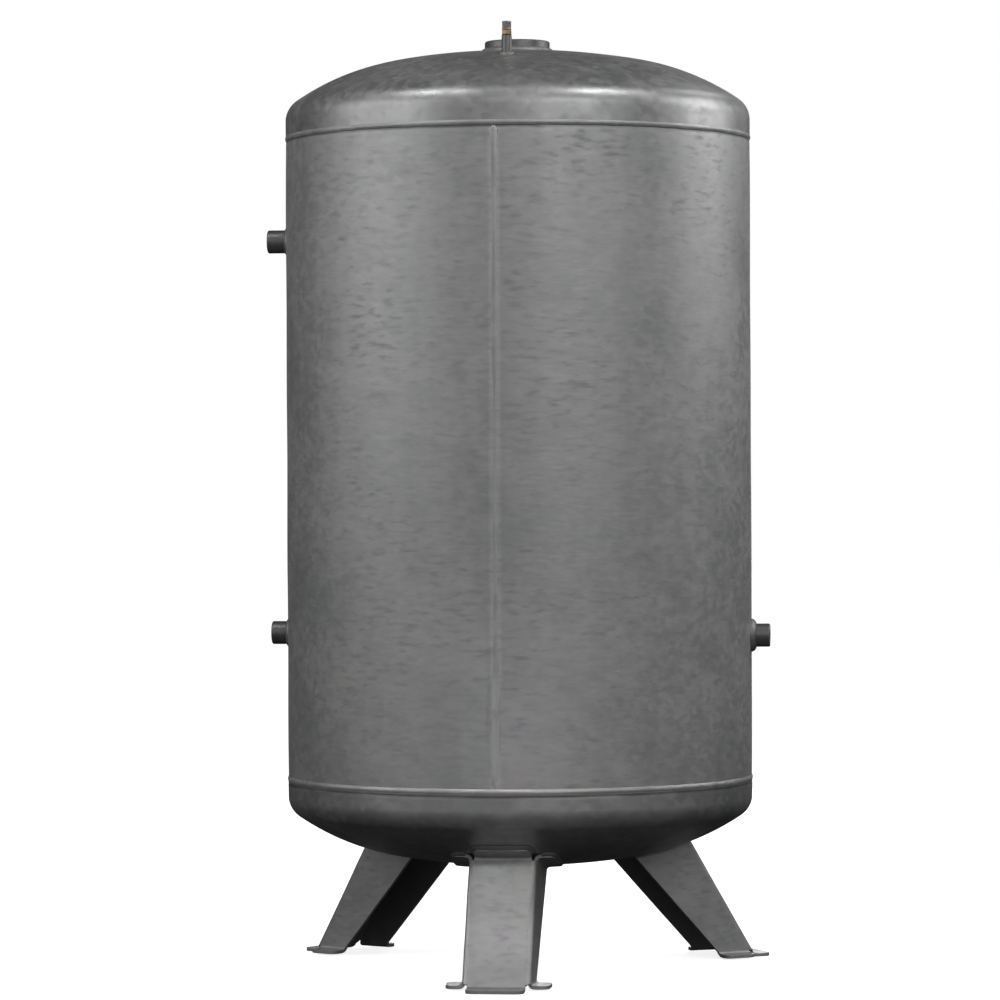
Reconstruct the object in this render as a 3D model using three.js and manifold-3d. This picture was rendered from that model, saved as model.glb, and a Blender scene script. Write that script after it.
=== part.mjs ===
// Upright expansion vessel on three legs: a galvanised steel pressure vessel with an air cushion.
// Units are millimetres. +Z is up and the origin is on the vessel's axis, on the floor.
// The front is -Y, where the shell's long seam and the front leg are.
// Neighbouring pieces keep a gap of FIT, and weld beads are pieces of their own.

import * as THREE from 'three';
import { mergeVertices } from 'three/addons/utils/BufferGeometryUtils.js';
import Module from 'manifold-3d';

const wasm = await Module();
wasm.setup();

// ---- Driving dimensions ----

const FIT = 0.3;
const VESSEL_SIDES = 48;
const TAB_CORNER_STEPS = 3;
// How far a cutting shape reaches past what it cuts, and how far joined shapes overlap.
const CLEAR = 40;
const OVERLAP = 1;
// Corners closer together than this are one corner.
const MERGE_DISTANCE = 1e-4;

const SHELL_RADIUS = 400;
const PLATE = 4;
const SEAM_LOW = 325;
const SEAM_HIGH = 1425;
const ROOT_GAP = 4;

// A head's height from the middle of its seam to its apex, and the three arcs of its outer face.
const HEAD_HEIGHT = 150;
const CROWN = { radius: 1238, reach: 221, steps: 2 };
const SHOULDER = { radius: 418, steps: 3 };
const KNUCKLE = { radius: 40, steps: 3 };

const BEAD_HALF_WIDTH = 6;
const BEAD_PROUD = 1.6;
// A fillet weld's free edges are FILLET_EDGE thick, and it is drawn from FILLET_ROOT under the plate.
const FILLET_EDGE = 1;
const FILLET_ROOT = 8;

const BOSS = { radius: 56, bore: 42.8, mouth: 44.6, above: 18, below: 14, chamfer: 2, sides: 36 };
const BOSS_FILLET = 8;

const SOCKET = { radius: 20, bore: 15.4, mouth: 17, length: 48, chamfer: 1.6, sides: 24 };
const SOCKETS = [
  { name: 'upper_left_socket', height: 1252, projection: 36, side: -1, fillet: 6 },
  { name: 'lower_left_socket', height: 574, projection: 31, side: -1, fillet: 6 },
  { name: 'right_socket', height: 569, projection: 32, side: 1, fillet: 9 },
];
const DRAIN = { projection: 30, fillet: 6 };

const LEG = {
  width: 118,
  sheet: 6,
  webFoot: 424,
  webLean: 0.6,
  edgeFoot: 358.5,
  edgeLean: 0.924,
  bend: 9,
  height: 260,
  depth: 160,
  reachAtHead: 300,
};
const FOOT_TAB = { reach: 31, halfWidth: 49, corner: 16, overlap: 12 };
// The side tabs of a foot stand a little higher than its outward tab.
const FOOT_SIDE_TAB = { inner: 363, outer: 410, reach: 28, corner: 14, lift: 3 };
const TOP_TAB = { outer: 328, halfWidth: 49, corner: 14, overlap: 60 };
const TOP_SIDE_TAB = { inner: 200, outer: 282, reach: 27, corner: 14 };
const LEG_BEAD = 6;
// The front leg is a little off the even spacing of the other two.
const LEGS = [
  { name: 'front', degrees: 0 },
  { name: 'right', degrees: 117.6 },
  { name: 'left', degrees: 237.6 },
];

const VALVE_REACH = 240;
const VALVE_ANGLE = THREE.MathUtils.degToRad(1.5);
const VALVE = {
  sides: 16,
  gap: 0.1,
  nipple: { radius: 8.6, bore: 6.25, top: 1581, below: 12, fillet: 4.5 },
  washer: { radius: 8.2, bore: 6.2, height: 1.5 },
  hex: { acrossFlats: 15, height: 6.5 },
  shank: { radius: 5.9, length: 13.5, airway: 3.5 },
  stem: { radius: 3.85, top: 1601.5, bore: 2.9 },
  cap: { radius: 7.75, cavity: 4.25, top: 1605, roof: 2, edge: 1, seat: 0.4 },
  gasket: { radius: 3.9, height: 1, seat: 0.2 },
  core: { radius: 2.5, bore: 1.7, bottom: 1584, top: 1598.5, floor: 1.2, floorBore: 1, seat: 4 },
  seal: { groove: 2.05, groovePosition: 2.6, height: 2.4, squeeze: 0.05 },
  pin: { radius: 0.65, top: 1600.9, collar: 1.45, collarTop: 1597.2, collarHeight: 1 },
  poppet: { radius: 2.2, height: 1.2, sealHeight: 0.9 },
  spring: { radius: 1.18, wire: 0.2, turns: 6, stepsPerTurn: 10, wireSteps: 3 },
};

const HEAD_APEX_LOW = SEAM_LOW - HEAD_HEIGHT;
const HEAD_APEX_HIGH = SEAM_HIGH + HEAD_HEIGHT;
const SHELL_INSIDE = SHELL_RADIUS - PLATE;

// ---- Materials ----

function steel(color, roughness, metalness) {
  return new THREE.MeshStandardMaterial({ color, roughness, metalness });
}

const galvanised = steel(0x8b8d8c, 0.5, 0.7);
const galvanisedLeg = steel(0x969896, 0.55, 0.7);
const galvanisedFitting = steel(0x6f7170, 0.5, 0.7);
const weldMetal = steel(0xa6a8a7, 0.6, 0.6);
const brass = steel(0xb08d4a, 0.35, 0.9);
const nickel = steel(0x9a9690, 0.35, 0.9);
const springSteel = steel(0xb8bcc0, 0.3, 1);
const rubber = steel(0x191a1a, 0.85, 0);

// ---- Solids ----

function signedVolume(position, corners) {
  const a = new THREE.Vector3();
  const b = new THREE.Vector3();
  const c = new THREE.Vector3();
  let total = 0;
  for (let i = 0; i < corners.length; i += 3) {
    a.fromArray(position, 3 * corners[i]);
    b.fromArray(position, 3 * corners[i + 1]);
    c.fromArray(position, 3 * corners[i + 2]);
    total += a.dot(b.cross(c)) / 6;
  }
  return total;
}

// A closed three.js geometry as a solid, with its shared corners merged and its faces turned outwards.
function solid(geometry) {
  const bare = geometry.clone();
  bare.deleteAttribute('normal');
  bare.deleteAttribute('uv');
  const merged = mergeVertices(bare, MERGE_DISTANCE);
  const index = merged.index.array;
  const corners = [];
  for (let i = 0; i < index.length; i += 3) {
    const [a, b, c] = index.slice(i, i + 3);
    if (a !== b && b !== c && c !== a) {
      corners.push(a, b, c);
    }
  }
  const position = new Float32Array(merged.attributes.position.array);
  if (signedVolume(position, corners) < 0) {
    corners.reverse();
  }
  const mesh = new wasm.Mesh({
    numProp: 3,
    vertProperties: position,
    triVerts: new Uint32Array(corners),
  });
  return new wasm.Manifold(mesh);
}

function joined(solids) {
  return solids.reduce((whole, next) => whole.add(next));
}

function without(whole, cuts) {
  return cuts.reduce((left, cut) => left.subtract(cut), whole);
}

function node(name, shape, material) {
  const { vertProperties, triVerts } = shape.getMesh();
  const geometry = new THREE.BufferGeometry();
  geometry.setAttribute('position', new THREE.BufferAttribute(vertProperties, 3));
  geometry.setIndex(new THREE.BufferAttribute(triVerts, 1));
  geometry.computeVertexNormals();
  const mesh = new THREE.Mesh(geometry, material);
  mesh.name = name;
  return mesh;
}

// ---- Shapes ----

// Points are [radius, height]. The outline closes on itself, or starts and ends on the axis.
function turned(points, sides) {
  const outline = points.map(([radius, height]) => new THREE.Vector2(radius, height));
  if (points[0][0] > 0) {
    outline.push(outline[0].clone());
  }
  return new THREE.LatheGeometry(outline, sides).rotateX(Math.PI / 2);
}

function ring(inner, outer, low, high, sides) {
  return turned([[inner, low], [outer, low], [outer, high], [inner, high]], sides);
}

function rod(radius, low, high, sides) {
  return turned([[0, low], [radius, low], [radius, high], [0, high]], sides);
}

function box(low, high) {
  const size = high.map((value, i) => value - low[i]);
  const middle = high.map((value, i) => (value + low[i]) / 2);
  return new THREE.BoxGeometry(...size).translate(...middle);
}

// A flat outline drawn in the floor plane, standing from low to high. Points are [x, y].
function prism(shape, low, high) {
  const options = { depth: high - low, bevelEnabled: false, curveSegments: TAB_CORNER_STEPS };
  return new THREE.ExtrudeGeometry(shape, options).translate(0, 0, low);
}

// A rectangle whose two far corners, away from the edge at "near", are rounded.
// It reaches along -Y from near to far, and sideways to halfWidth each way.
function tabShape(near, far, halfWidth, corner) {
  const shape = new THREE.Shape();
  shape.moveTo(-halfWidth, -near);
  shape.lineTo(-halfWidth, -far + corner);
  shape.absarc(-halfWidth + corner, -far + corner, corner, Math.PI, 1.5 * Math.PI);
  shape.lineTo(halfWidth - corner, -far);
  shape.absarc(halfWidth - corner, -far + corner, corner, 1.5 * Math.PI, 2 * Math.PI);
  shape.lineTo(halfWidth, -near);
  shape.closePath();
  return shape;
}

// The same, reaching along +X from near to far, between the radii inner and outer.
function sideTabShape(near, far, inner, outer, corner) {
  const shape = new THREE.Shape();
  shape.moveTo(near, -outer);
  shape.lineTo(far - corner, -outer);
  shape.absarc(far - corner, -outer + corner, corner, 1.5 * Math.PI, 2 * Math.PI);
  shape.lineTo(far, -inner - corner);
  shape.absarc(far - corner, -inner - corner, corner, 0, 0.5 * Math.PI);
  shape.lineTo(near, -inner);
  shape.closePath();
  return shape;
}

function mirroredSideways(shape) {
  const points = shape.getPoints(TAB_CORNER_STEPS).map(({ x, y }) => new THREE.Vector2(-x, y));
  return new THREE.Shape(points.reverse());
}

// ---- Dished heads ----
// A head is drawn over its seam: height 0 is the seam's middle, and the dish rises to HEAD_HEIGHT.

// Each arc is [x, z] of its centre, its radius and the angles that it spans, from straight up.
function headArcs() {
  const crownAngle = Math.asin(CROWN.reach / CROWN.radius);
  const back = CROWN.radius - SHOULDER.radius;
  const crown = { x: 0, z: HEAD_HEIGHT - CROWN.radius, from: 0, to: crownAngle, ...CROWN };
  const x = back * Math.sin(crownAngle);
  const z = crown.z + back * Math.cos(crownAngle);
  const knuckleX = SHELL_RADIUS - KNUCKLE.radius;
  const down = SHOULDER.radius - KNUCKLE.radius;
  const shoulderAngle = Math.asin((knuckleX - x) / down);
  const shoulder = { x, z, from: crownAngle, to: shoulderAngle, ...SHOULDER };
  const knuckleZ = z + down * Math.cos(shoulderAngle);
  const knuckle = { x: knuckleX, z: knuckleZ, from: shoulderAngle, to: Math.PI / 2, ...KNUCKLE };
  return [crown, shoulder, knuckle];
}

const HEAD_ARCS = headArcs();

// The dish's outline from its middle down to the top of its straight flange.
// It is moved outwards by offset, or inwards where offset is negative.
function dishOutline(offset) {
  const points = [];
  for (const { x, z, radius, from, to, steps } of HEAD_ARCS) {
    for (let i = 0; i < steps; i += 1) {
      const angle = from + ((to - from) * i) / steps;
      points.push([x + (radius + offset) * Math.sin(angle), z + (radius + offset) * Math.cos(angle)]);
    }
  }
  const { x, z, radius } = HEAD_ARCS.at(-1);
  points.push([x + radius + offset, z]);
  return points;
}

function dishedHead() {
  const outside = [...dishOutline(0), [SHELL_RADIUS, ROOT_GAP / 2]];
  const inside = [...dishOutline(-PLATE), [SHELL_INSIDE, ROOT_GAP / 2]];
  return turned([...outside, ...inside.reverse()], VESSEL_SIDES);
}

// Everything under a dish that stands offset proud of the head's outer face.
function filledDish(offset) {
  const outline = [...dishOutline(offset), [SHELL_RADIUS + offset, 0], [0, 0]];
  return turned(outline, VESSEL_SIDES);
}

const upright = (geometry) => geometry.translate(0, 0, SEAM_HIGH);
const upsideDown = (geometry) => geometry.rotateX(Math.PI).translate(0, 0, SEAM_LOW);

// How high the top head's outer face stands at a distance from the vessel's axis.
function headHeight(distance) {
  const arc = HEAD_ARCS.find(({ x, radius, to }) => distance <= x + radius * Math.sin(to));
  return SEAM_HIGH + arc.z + Math.sqrt(arc.radius ** 2 - (distance - arc.x) ** 2);
}

// ---- The pressure vessel ----

function socketAxis(geometry, side) {
  return geometry.rotateY((side * Math.PI) / 2);
}

function shell() {
  const cuts = SOCKETS.map(({ height, side }) => {
    const hole = rod(SOCKET.radius + FIT, SHELL_INSIDE - CLEAR, SHELL_RADIUS + CLEAR, SOCKET.sides);
    return solid(socketAxis(hole, side).translate(0, 0, height));
  });
  const half = ROOT_GAP / 2;
  const slot = box([-half, -SHELL_RADIUS - CLEAR, SEAM_LOW], [half, -SHELL_INSIDE + CLEAR, SEAM_HIGH]);
  cuts.push(solid(slot));
  const low = SEAM_LOW + half;
  const high = SEAM_HIGH - half;
  return without(solid(ring(SHELL_INSIDE, SHELL_RADIUS, low, high, VESSEL_SIDES)), cuts);
}

// The bead's section is a root that fills the gap between the plates and a low cap over it.
function beadSection() {
  const root = ROOT_GAP / 2 - FIT;
  const under = SHELL_RADIUS + FIT;
  const top = SHELL_RADIUS + BEAD_PROUD;
  return [
    [SHELL_INSIDE, -root],
    [under, -root],
    [under, -BEAD_HALF_WIDTH],
    [top, -BEAD_HALF_WIDTH / 2],
    [top, BEAD_HALF_WIDTH / 2],
    [under, BEAD_HALF_WIDTH],
    [under, root],
    [SHELL_INSIDE, root],
  ];
}

function girthWeld(height) {
  return solid(turned(beadSection(), VESSEL_SIDES).translate(0, 0, height));
}

function longWeld() {
  const outline = beadSection().map(([reach, across]) => new THREE.Vector2(across, -reach));
  const ends = BEAD_HALF_WIDTH + FIT;
  return solid(prism(new THREE.Shape(outline), SEAM_LOW + ends, SEAM_HIGH - ends));
}

function topHead() {
  const bossHole = rod(BOSS.radius + FIT, SEAM_HIGH, HEAD_APEX_HIGH + CLEAR, BOSS.sides);
  const nippleHole = rod(VALVE.nipple.radius + FIT, SEAM_HIGH, HEAD_APEX_HIGH, VALVE.sides);
  nippleHole.translate(...valvePlace());
  return without(solid(upright(dishedHead())), [solid(bossHole), solid(nippleHole)]);
}

function bottomHead() {
  const drainHole = rod(SOCKET.radius + FIT, 0, SEAM_LOW, SOCKET.sides);
  return solid(upsideDown(dishedHead())).subtract(solid(drainHole));
}

// ---- Boss and sockets ----

// A threaded ring's body, with its outer end chamfered and its bore's mouth opened.
// It is drawn upright, with its outer end at the height top.
function threadedRing({ radius, bore, mouth, chamfer, sides }, low, top) {
  const opening = mouth - bore;
  return turned([
    [bore, low],
    [radius, low],
    [radius, top - chamfer],
    [radius - chamfer, top],
    [mouth, top],
    [bore, top - opening],
  ], sides);
}

function topBoss() {
  return solid(threadedRing(BOSS, HEAD_APEX_HIGH - BOSS.below, HEAD_APEX_HIGH + BOSS.above));
}

// A fillet weld around an upright ring that stands on a plate. The plate's own shape is cut off later.
function filletRing(radius, fillet, plate, sides) {
  const inner = radius + FIT;
  const low = plate - FILLET_ROOT;
  return turned([
    [inner, low],
    [inner + fillet, low],
    [inner + fillet, plate + FILLET_EDGE],
    [inner + FILLET_EDGE, plate + fillet],
    [inner, plate + fillet],
  ], sides);
}

function bossWeld() {
  const fillet = filletRing(BOSS.radius, BOSS_FILLET, HEAD_APEX_HIGH, BOSS.sides);
  return solid(fillet).subtract(solid(upright(filledDish(FIT))));
}

function socketBody(projection) {
  const end = SHELL_RADIUS + projection;
  return solid(socketAxis(threadedRing(SOCKET, end - SOCKET.length, end), 1));
}

function socketWeld(fillet) {
  const rawRing = filletRing(SOCKET.radius, fillet, SHELL_RADIUS, SOCKET.sides);
  const reach = SOCKET.radius + CLEAR;
  const plate = rod(SHELL_RADIUS + FIT, -reach, reach, VESSEL_SIDES);
  return solid(socketAxis(rawRing, 1)).subtract(solid(plate));
}

function drainSocket() {
  const end = DRAIN.projection - HEAD_APEX_LOW;
  const body = threadedRing(SOCKET, end - SOCKET.length, end);
  return solid(body.rotateX(Math.PI));
}

function drainWeld() {
  const fillet = filletRing(SOCKET.radius, DRAIN.fillet, -HEAD_APEX_LOW, SOCKET.sides);
  return solid(fillet.rotateX(Math.PI)).subtract(solid(upsideDown(filledDish(FIT))));
}

// ---- Legs ----
// A leg is a pressed channel that opens towards the axis. Its web leans in as it rises.
// Its foot and its top each end in three tabs: one outwards and one to each side.

// The channel's level section: the web, two bends and the flanges, open at the back.
function channelShape() {
  const half = LEG.width / 2;
  const { bend, sheet, webFoot } = LEG;
  const web = sheet * Math.hypot(1, LEG.webLean);
  const back = -webFoot + LEG.depth;
  const inner = bend - sheet;
  const shape = new THREE.Shape();
  shape.moveTo(-half, back);
  shape.lineTo(-half, -webFoot + bend);
  shape.absarc(-half + bend, -webFoot + bend, bend, Math.PI, 1.5 * Math.PI);
  shape.lineTo(half - bend, -webFoot);
  shape.absarc(half - bend, -webFoot + bend, bend, 1.5 * Math.PI, 2 * Math.PI);
  shape.lineTo(half, back);
  shape.lineTo(half - sheet, back);
  shape.lineTo(half - sheet, -webFoot + web + inner);
  shape.lineTo(half - sheet - inner, -webFoot + web);
  shape.lineTo(-half + sheet + inner, -webFoot + web);
  shape.lineTo(-half + sheet, -webFoot + web + inner);
  shape.lineTo(-half + sheet, back);
  shape.closePath();
  return shape;
}

// What lies behind the flanges' free edges, as a wedge to cut away.
function behindFlanges() {
  const edge = (height) => -LEG.edgeFoot + LEG.edgeLean * height;
  const top = LEG.height + CLEAR;
  const outline = new THREE.Shape([
    new THREE.Vector2(edge(-CLEAR), -CLEAR),
    new THREE.Vector2(CLEAR, -CLEAR),
    new THREE.Vector2(CLEAR, top),
    new THREE.Vector2(edge(top), top),
  ]);
  const wedge = new THREE.ExtrudeGeometry(outline, { depth: 2 * LEG.width, bevelEnabled: false });
  // The outline's two directions become Y and Z, and its depth becomes X.
  const turn = new THREE.Matrix4().makeBasis(
    new THREE.Vector3(0, 1, 0),
    new THREE.Vector3(0, 0, 1),
    new THREE.Vector3(1, 0, 0),
  );
  return wedge.applyMatrix4(turn).translate(-LEG.width, 0, 0);
}

// Both side tabs, as solids that stand from low to high.
function sideTabs(shape, low, high) {
  return [shape, mirroredSideways(shape)].map((outline) => solid(prism(outline, low, high)));
}

function footTabs() {
  const { reach, halfWidth, corner, overlap } = FOOT_TAB;
  const middle = tabShape(LEG.webFoot - overlap, LEG.webFoot + reach, halfWidth, corner);
  const half = LEG.width / 2;
  const side = sideTabShape(
    half - LEG.sheet / 2,
    half + FOOT_SIDE_TAB.reach,
    FOOT_SIDE_TAB.inner,
    FOOT_SIDE_TAB.outer,
    FOOT_SIDE_TAB.corner,
  );
  const { lift } = FOOT_SIDE_TAB;
  return [solid(prism(middle, 0, LEG.sheet)), ...sideTabs(side, lift, lift + LEG.sheet)];
}

// The top tabs as upright blocks. They are grown all round for the weld that runs along them.
function topTabBlocks(grow) {
  const half = LEG.width / 2;
  const middle = tabShape(
    TOP_TAB.outer - TOP_TAB.overlap,
    TOP_TAB.outer + grow,
    TOP_TAB.halfWidth + grow,
    TOP_TAB.corner + grow,
  );
  const side = sideTabShape(
    half - LEG.sheet / 2,
    half + TOP_SIDE_TAB.reach + grow,
    TOP_SIDE_TAB.inner,
    TOP_SIDE_TAB.outer + grow,
    TOP_SIDE_TAB.corner,
  );
  const block = solid(prism(middle, HEAD_APEX_LOW, SEAM_LOW));
  return [block, ...sideTabs(side, HEAD_APEX_LOW, SEAM_LOW)];
}

// Everything above a surface that stands offset proud of the bottom head.
// It is turned back by the leg's own angle, so that its facets lie along the head's.
function aboveHead(offset, angle) {
  return solid(upsideDown(filledDish(offset)).rotateZ(-angle));
}

// The layer that lies against the bottom head, from near to far off its outer face.
function layerUnderHead(near, far, angle) {
  return aboveHead(far, angle).subtract(aboveHead(near, angle));
}

function leg(angle) {
  const lean = new THREE.Matrix4().makeShear(0, 0, 0, 0, 0, LEG.webLean);
  const channel = solid(prism(channelShape(), 0, LEG.height).applyMatrix4(lean));
  const trimmed = without(channel, [solid(behindFlanges()), aboveHead(FIT, angle)]);
  const layer = layerUnderHead(FIT, FIT + LEG.sheet, angle);
  const againstHead = joined(topTabBlocks(0)).intersect(layer);
  return joined([trimmed, ...footTabs(), againstHead]);
}

// Everything that the top of a leg covers on the head, grown all round.
function legPrint(grow) {
  const half = LEG.width / 2 + grow;
  const front = -LEG.reachAtHead - grow;
  const channel = box([-half, front, HEAD_APEX_LOW], [half, -TOP_SIDE_TAB.inner, SEAM_LOW]);
  return joined([...topTabBlocks(grow), solid(channel)]);
}

// The weld runs around the leg's print, along the head. It stops where the flanges' free edges do.
function legWeld(angle) {
  const bead = legPrint(LEG_BEAD).intersect(layerUnderHead(FIT, LEG.sheet, angle));
  const end = -TOP_SIDE_TAB.inner - FILLET_EDGE;
  const behind = box([-LEG.width, end, HEAD_APEX_LOW - CLEAR], [LEG.width, CLEAR, SEAM_LOW]);
  return bead.subtract(legPrint(FIT)).subtract(solid(behind));
}

// ---- Air valve ----
// It stands on the top head, in front of the boss: a pipe nipple, a screwed-in valve body and its cap.
// Its pieces are drawn on their own axis and moved to valvePlace.

function valvePlace() {
  return [VALVE_REACH * Math.sin(VALVE_ANGLE), -VALVE_REACH * Math.cos(VALVE_ANGLE), 0];
}

const WASHER_LOW = VALVE.nipple.top + FIT;
const HEX_LOW = WASHER_LOW + VALVE.washer.height + FIT;
const HEX_TOP = HEX_LOW + VALVE.hex.height;

function nipple() {
  const { radius, bore, top, below } = VALVE.nipple;
  return solid(ring(bore, radius, headHeight(VALVE_REACH) - below, top, VALVE.sides));
}

function nippleWeld() {
  const plate = headHeight(VALVE_REACH);
  const fillet = filletRing(VALVE.nipple.radius, VALVE.nipple.fillet, plate, VALVE.sides);
  const head = upright(filledDish(FIT)).translate(...valvePlace().map((value) => -value));
  return solid(fillet).subtract(solid(head));
}

function valveWasher() {
  const { radius, bore, height } = VALVE.washer;
  return solid(ring(bore, radius, WASHER_LOW, WASHER_LOW + height, VALVE.sides));
}

function valveBody() {
  const { shank, stem, hex, core } = VALVE;
  const low = HEX_LOW - shank.length;
  const hexagon = rod(hex.acrossFlats / Math.sqrt(3), HEX_LOW, HEX_TOP, 6);
  const outside = joined([
    solid(rod(shank.radius, low, HEX_LOW + OVERLAP, VALVE.sides)),
    solid(hexagon),
    solid(rod(stem.radius, HEX_TOP - OVERLAP, stem.top, VALVE.sides)),
  ]);
  const coreBore = solid(rod(stem.bore, core.bottom - core.seat, stem.top + OVERLAP, VALVE.sides));
  const airway = solid(rod(shank.airway, low - OVERLAP, core.bottom - FIT, VALVE.sides));
  return without(outside, [coreBore, airway]);
}

function valveCore() {
  const { radius, bore, bottom, top, floor, floorBore } = VALVE.core;
  const { groove, groovePosition, height } = VALVE.seal;
  const grooveLow = bottom + groovePosition;
  return solid(turned([
    [floorBore, bottom],
    [radius, bottom],
    [radius, grooveLow],
    [groove, grooveLow],
    [groove, grooveLow + height],
    [radius, grooveLow + height],
    [radius, top],
    [bore, top],
    [bore, bottom + floor],
    [floorBore, bottom + floor],
  ], VALVE.sides));
}

function coreSeal() {
  const { groove, groovePosition, height, squeeze } = VALVE.seal;
  const low = VALVE.core.bottom + groovePosition + VALVE.gap;
  const inner = groove + VALVE.gap;
  const outer = VALVE.stem.bore - squeeze;
  return solid(ring(inner, outer, low, low + height - 2 * VALVE.gap, VALVE.sides));
}

function valvePin() {
  const { pin, poppet, core } = VALVE;
  const seatLow = core.bottom - poppet.sealHeight - 2 * VALVE.gap;
  return solid(turned([
    [0, seatLow - poppet.height],
    [poppet.radius, seatLow - poppet.height],
    [poppet.radius, seatLow],
    [pin.radius, seatLow],
    [pin.radius, pin.collarTop - pin.collarHeight],
    [pin.collar, pin.collarTop - pin.collarHeight],
    [pin.collar, pin.collarTop],
    [pin.radius, pin.collarTop],
    [pin.radius, pin.top],
    [0, pin.top],
  ], VALVE.sides));
}

function pinSeal() {
  const { pin, poppet, core } = VALVE;
  const high = core.bottom - VALVE.gap;
  const low = high - poppet.sealHeight;
  return solid(ring(pin.radius + VALVE.gap, poppet.radius, low, high, VALVE.sides));
}

// The spring is a coil between the core's floor and the pin's collar.
class Coil extends THREE.Curve {
  constructor(radius, low, high, turns) {
    super();
    Object.assign(this, { radius, low, high, turns });
  }

  getPoint(t, target = new THREE.Vector3()) {
    const angle = 2 * Math.PI * this.turns * t;
    const height = this.low + (this.high - this.low) * t;
    return target.set(this.radius * Math.cos(angle), this.radius * Math.sin(angle), height);
  }
}

function valveSpring() {
  const { spring, core, pin } = VALVE;
  const low = core.bottom + core.floor + spring.wire + VALVE.gap;
  const high = pin.collarTop - pin.collarHeight - spring.wire - VALVE.gap;
  const section = new THREE.Shape();
  section.absarc(0, 0, spring.wire, 0, 2 * Math.PI);
  return solid(new THREE.ExtrudeGeometry(section, {
    extrudePath: new Coil(spring.radius, low, high, spring.turns),
    steps: spring.turns * spring.stepsPerTurn,
    curveSegments: spring.wireSteps,
    bevelEnabled: false,
  }));
}

function valveCap() {
  const { radius, cavity, top, roof, edge, seat } = VALVE.cap;
  const low = HEX_TOP + seat;
  return solid(turned([
    [cavity, low],
    [radius, low],
    [radius, top - edge],
    [radius - edge, top],
    [0, top],
    [0, top - roof],
    [cavity, top - roof],
  ], VALVE.sides));
}

function capGasket() {
  const { radius, height, seat } = VALVE.gasket;
  const low = VALVE.stem.top + seat;
  return solid(rod(radius, low, low + height, VALVE.sides));
}

// ---- The assembly ----

const vessel = new THREE.Group();

vessel.add(
  node('shell', shell(), galvanised),
  node('long_seam_weld', longWeld(), weldMetal),
  node('top_head', topHead(), galvanised),
  node('bottom_head', bottomHead(), galvanised),
  node('top_girth_weld', girthWeld(SEAM_HIGH), weldMetal),
  node('bottom_girth_weld', girthWeld(SEAM_LOW), weldMetal),
  node('top_boss', topBoss(), galvanisedFitting),
  node('top_boss_weld', bossWeld(), weldMetal),
  node('drain_socket', drainSocket(), galvanisedFitting),
  node('drain_socket_weld', drainWeld(), weldMetal),
);

for (const { name, height, projection, side, fillet } of SOCKETS) {
  const fitting = new THREE.Group();
  fitting.position.z = height;
  fitting.rotation.z = side > 0 ? 0 : Math.PI;
  fitting.add(node(name, socketBody(projection), galvanisedFitting));
  fitting.add(node(`${name}_weld`, socketWeld(fillet), weldMetal));
  vessel.add(fitting);
}

for (const { name, degrees } of LEGS) {
  const place = new THREE.Group();
  const angle = THREE.MathUtils.degToRad(degrees);
  place.rotation.z = angle;
  place.add(node(`${name}_leg`, leg(angle), galvanisedLeg));
  place.add(node(`${name}_leg_weld`, legWeld(angle), weldMetal));
  vessel.add(place);
}

const valve = new THREE.Group();
valve.position.set(...valvePlace());
valve.add(
  node('valve_nipple', nipple(), galvanisedFitting),
  node('valve_nipple_weld', nippleWeld(), weldMetal),
  node('valve_washer', valveWasher(), rubber),
  node('valve_body', valveBody(), brass),
  node('valve_core', valveCore(), brass),
  node('valve_core_seal', coreSeal(), rubber),
  node('valve_pin', valvePin(), nickel),
  node('valve_pin_seal', pinSeal(), rubber),
  node('valve_spring', valveSpring(), springSteel),
  node('valve_cap', valveCap(), nickel),
  node('valve_cap_gasket', capGasket(), rubber),
);
vessel.add(valve);

export default vessel;
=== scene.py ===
# An upright galvanised expansion vessel on three legs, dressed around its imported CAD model.
# Lengths on the object are written as millimetres times MM, so that meshes are in metres.
# Lengths in the room, such as a lamp's size and place, are written in metres.
# +Z is up, the front is -Y, and the origin is on the vessel's axis, on the floor.

import math

import bmesh
import bpy
from mathutils import Matrix, Vector, noise


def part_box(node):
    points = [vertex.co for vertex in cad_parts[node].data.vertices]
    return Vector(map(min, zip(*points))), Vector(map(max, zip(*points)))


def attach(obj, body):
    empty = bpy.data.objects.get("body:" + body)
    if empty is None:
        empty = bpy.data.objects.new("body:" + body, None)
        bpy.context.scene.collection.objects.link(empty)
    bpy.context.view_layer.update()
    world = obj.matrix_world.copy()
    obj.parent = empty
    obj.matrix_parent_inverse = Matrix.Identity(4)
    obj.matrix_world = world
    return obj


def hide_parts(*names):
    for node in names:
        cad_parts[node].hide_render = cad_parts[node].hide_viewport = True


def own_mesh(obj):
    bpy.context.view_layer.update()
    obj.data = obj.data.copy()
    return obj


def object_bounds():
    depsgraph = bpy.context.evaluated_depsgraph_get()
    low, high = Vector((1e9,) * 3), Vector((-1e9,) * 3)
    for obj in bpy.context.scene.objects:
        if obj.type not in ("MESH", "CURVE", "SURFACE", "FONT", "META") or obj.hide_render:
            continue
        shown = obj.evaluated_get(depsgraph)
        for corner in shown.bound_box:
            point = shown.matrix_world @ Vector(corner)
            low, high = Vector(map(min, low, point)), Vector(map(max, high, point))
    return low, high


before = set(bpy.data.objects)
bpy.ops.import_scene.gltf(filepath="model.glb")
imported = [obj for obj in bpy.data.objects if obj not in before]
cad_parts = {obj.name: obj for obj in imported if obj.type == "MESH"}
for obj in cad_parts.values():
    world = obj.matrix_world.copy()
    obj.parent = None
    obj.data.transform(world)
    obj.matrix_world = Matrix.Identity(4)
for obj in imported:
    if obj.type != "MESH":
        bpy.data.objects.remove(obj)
CAD_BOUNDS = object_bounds()

MM = 0.001
TURN = 2 * math.pi

# ---- Dimensions, from the CAD model's boxes where they can be read there ----

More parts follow.
